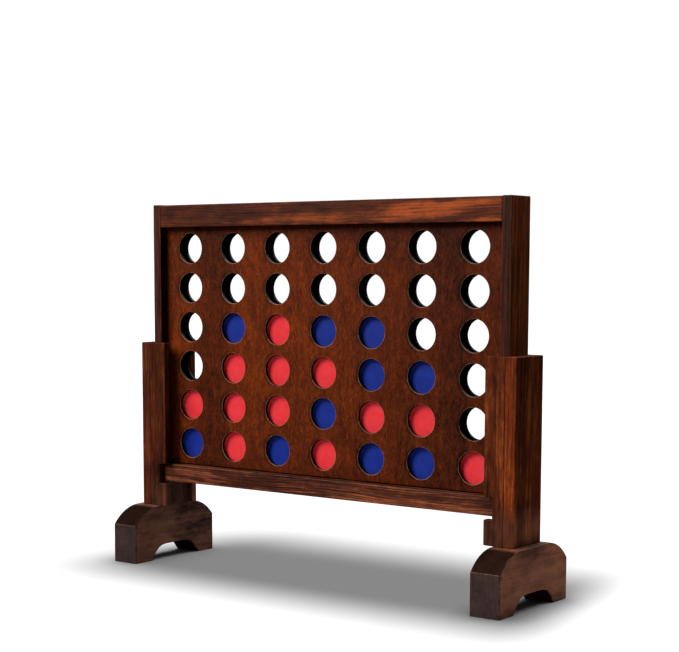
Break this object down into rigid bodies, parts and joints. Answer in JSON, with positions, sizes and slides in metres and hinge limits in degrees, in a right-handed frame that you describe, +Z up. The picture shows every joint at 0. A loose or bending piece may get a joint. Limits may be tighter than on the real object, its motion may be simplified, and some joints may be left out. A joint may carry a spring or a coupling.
{
  "type": "giant four in a row lawn game",
  "caption": "Stained wooden grid of sight holes standing in two channel legs on arched feet, with red and blue coins stacked in its columns and a release bar under them.",
  "frame": {"origin": "on the ground, midway between the two feet and midway through the board's thickness", "axes": "+X along the board to the right seen from the front, +Y from the front player to the back, +Z up"},
  "size_m": [0.6536, 0.167, 0.515],
  "materials": {
    "leg_timber": "dark reddish-brown stain under a satin coat, straight vertical grain, lighter worn arrises",
    "foot_timber": "dark brown stain under a satin coat, end grain on the front and back ends",
    "stile_timber": "dark brown stain under a satin coat, straight vertical grain",
    "rail_timber": "reddish-brown stain under a satin coat with one lighter orange streak, grain along the rail",
    "bar_timber": "reddish-brown stain, grain along the bar",
    "panel_ply": "blotchy reddish-brown stain on plywood, worn pale rims round the holes",
    "inner_timber": "sawn inner timber with a thin coat of the same stain",
    "bare_dowel": "bare hardwood dowel",
    "red_plastic": "moulded red plastic, satin",
    "blue_plastic": "moulded blue plastic, satin",
    "zinc_steel": "zinc-plated steel"
  },
  "bodies": {
    "stand": {"left_foot": "foot_timber", "left_foot_front_bolt": "zinc_steel", "left_foot_back_bolt": "zinc_steel", "left_leg_outer_board": "leg_timber", "left_leg_back_cheek": "leg_timber", "left_leg_front_cheek": "leg_timber", "left_leg_core_block": "leg_timber", "right_foot": "foot_timber", "right_foot_front_bolt": "zinc_steel", "right_foot_back_bolt": "zinc_steel", "right_leg_outer_board": "leg_timber", "right_leg_back_cheek": "leg_timber", "right_leg_front_cheek": "leg_timber", "right_leg_core_block": "leg_timber"},
    "board": {"left_stile": "stile_timber", "right_stile": "stile_timber", "front_top_rail": "rail_timber", "back_top_rail": "rail_timber", "front_rail_left_dowel": "bare_dowel", "front_rail_right_dowel": "bare_dowel", "back_rail_left_dowel": "bare_dowel", "back_rail_right_dowel": "bare_dowel", "front_panel": "panel_ply", "back_panel": "panel_ply", "left_end_spacer": "inner_timber", "right_end_spacer": "inner_timber", "divider_1": "inner_timber", "divider_2": "inner_timber", "divider_3": "inner_timber", "divider_4": "inner_timber", "divider_5": "inner_timber", "divider_6": "inner_timber"},
    "release_bar": {"release_bar": "bar_timber"},
    "coin_a1": {"coin_a1_blue": "blue_plastic"},
    "coin_a2": {"coin_a2_red": "red_plastic"},
    "coin_b1": {"coin_b1_red": "red_plastic"},
    "coin_b2": {"coin_b2_red": "red_plastic"},
    "coin_b3": {"coin_b3_red": "red_plastic"},
    "coin_b4": {"coin_b4_blue": "blue_plastic"},
    "coin_c1": {"coin_c1_blue": "blue_plastic"},
    "coin_c2": {"coin_c2_red": "red_plastic"},
    "coin_c3": {"coin_c3_red": "red_plastic"},
    "coin_c4": {"coin_c4_red": "red_plastic"},
    "coin_d1": {"coin_d1_red": "red_plastic"},
    "coin_d2": {"coin_d2_blue": "blue_plastic"},
    "coin_d3": {"coin_d3_red": "red_plastic"},
    "coin_d4": {"coin_d4_blue": "blue_plastic"},
    "coin_e1": {"coin_e1_blue": "blue_plastic"},
    "coin_e2": {"coin_e2_red": "red_plastic"},
    "coin_e3": {"coin_e3_blue": "blue_plastic"},
    "coin_e4": {"coin_e4_blue": "blue_plastic"},
    "coin_f1": {"coin_f1_blue": "blue_plastic"},
    "coin_f2": {"coin_f2_red": "red_plastic"},
    "coin_f3": {"coin_f3_blue": "blue_plastic"},
    "coin_g1": {"coin_g1_red": "red_plastic"}
  },
  "joints": [
    {"name": "bar_release", "type": "slide", "parent": "stand", "child": "release_bar", "axis": [0, -1, 0], "range_m": [0, 0.06]},
    {"name": "board_lift", "type": "slide", "parent": "stand", "child": "board", "axis": [0, 0, 1], "range_m": [0, 0.205]},
    {"name": "coin_a1_lift", "type": "slide", "parent": "stand", "child": "coin_a1", "axis": [0, 0, 1], "range_m": [0, 0.056]},
    {"name": "coin_a2_lift", "type": "slide", "parent": "coin_a1", "child": "coin_a2", "axis": [0, 0, 1], "range_m": [0, 0.3201]},
    {"name": "coin_b1_lift", "type": "slide", "parent": "stand", "child": "coin_b1", "axis": [0, 0, 1], "range_m": [0, 0.056]},
    {"name": "coin_b2_lift", "type": "slide", "parent": "coin_b1", "child": "coin_b2", "axis": [0, 0, 1], "range_m": [0, 0.056]},
    {"name": "coin_b3_lift", "type": "slide", "parent": "coin_b2", "child": "coin_b3", "axis": [0, 0, 1], "range_m": [0, 0.056]},
    {"name": "coin_b4_lift", "type": "slide", "parent": "coin_b3", "child": "coin_b4", "axis": [0, 0, 1], "range_m": [0, 0.2081]},
    {"name": "coin_c1_lift", "type": "slide", "parent": "stand", "child": "coin_c1", "axis": [0, 0, 1], "range_m": [0, 0.056]},
    {"name": "coin_c2_lift", "type": "slide", "parent": "coin_c1", "child": "coin_c2", "axis": [0, 0, 1], "range_m": [0, 0.056]},
    {"name": "coin_c3_lift", "type": "slide", "parent": "coin_c2", "child": "coin_c3", "axis": [0, 0, 1], "range_m": [0, 0.056]},
    {"name": "coin_c4_lift", "type": "slide", "parent": "coin_c3", "child": "coin_c4", "axis": [0, 0, 1], "range_m": [0, 0.2081]},
    {"name": "coin_d1_lift", "type": "slide", "parent": "stand", "child": "coin_d1", "axis": [0, 0, 1], "range_m": [0, 0.056]},
    {"name": "coin_d2_lift", "type": "slide", "parent": "coin_d1", "child": "coin_d2", "axis": [0, 0, 1], "range_m": [0, 0.056]},
    {"name": "coin_d3_lift", "type": "slide", "parent": "coin_d2", "child": "coin_d3", "axis": [0, 0, 1], "range_m": [0, 0.056]},
    {"name": "coin_d4_lift", "type": "slide", "parent": "coin_d3", "child": "coin_d4", "axis": [0, 0, 1], "range_m": [0, 0.2081]},
    {"name": "coin_e1_lift", "type": "slide", "parent": "stand", "child": "coin_e1", "axis": [0, 0, 1], "range_m": [0, 0.056]},
    {"name": "coin_e2_lift", "type": "slide", "parent": "coin_e1", "child": "coin_e2", "axis": [0, 0, 1], "range_m": [0, 0.056]},
    {"name": "coin_e3_lift", "type": "slide", "parent": "coin_e2", "child": "coin_e3", "axis": [0, 0, 1], "range_m": [0, 0.056]},
    {"name": "coin_e4_lift", "type": "slide", "parent": "coin_e3", "child": "coin_e4", "axis": [0, 0, 1], "range_m": [0, 0.2081]},
    {"name": "coin_f1_lift", "type": "slide", "parent": "stand", "child": "coin_f1", "axis": [0, 0, 1], "range_m": [0, 0.056]},
    {"name": "coin_f2_lift", "type": "slide", "parent": "coin_f1", "child": "coin_f2", "axis": [0, 0, 1], "range_m": [0, 0.056]},
    {"name": "coin_f3_lift", "type": "slide", "parent": "coin_f2", "child": "coin_f3", "axis": [0, 0, 1], "range_m": [0, 0.2641]},
    {"name": "coin_g1_lift", "type": "slide", "parent": "stand", "child": "coin_g1", "axis": [0, 0, 1], "range_m": [0, 0.3761]}
  ]
}
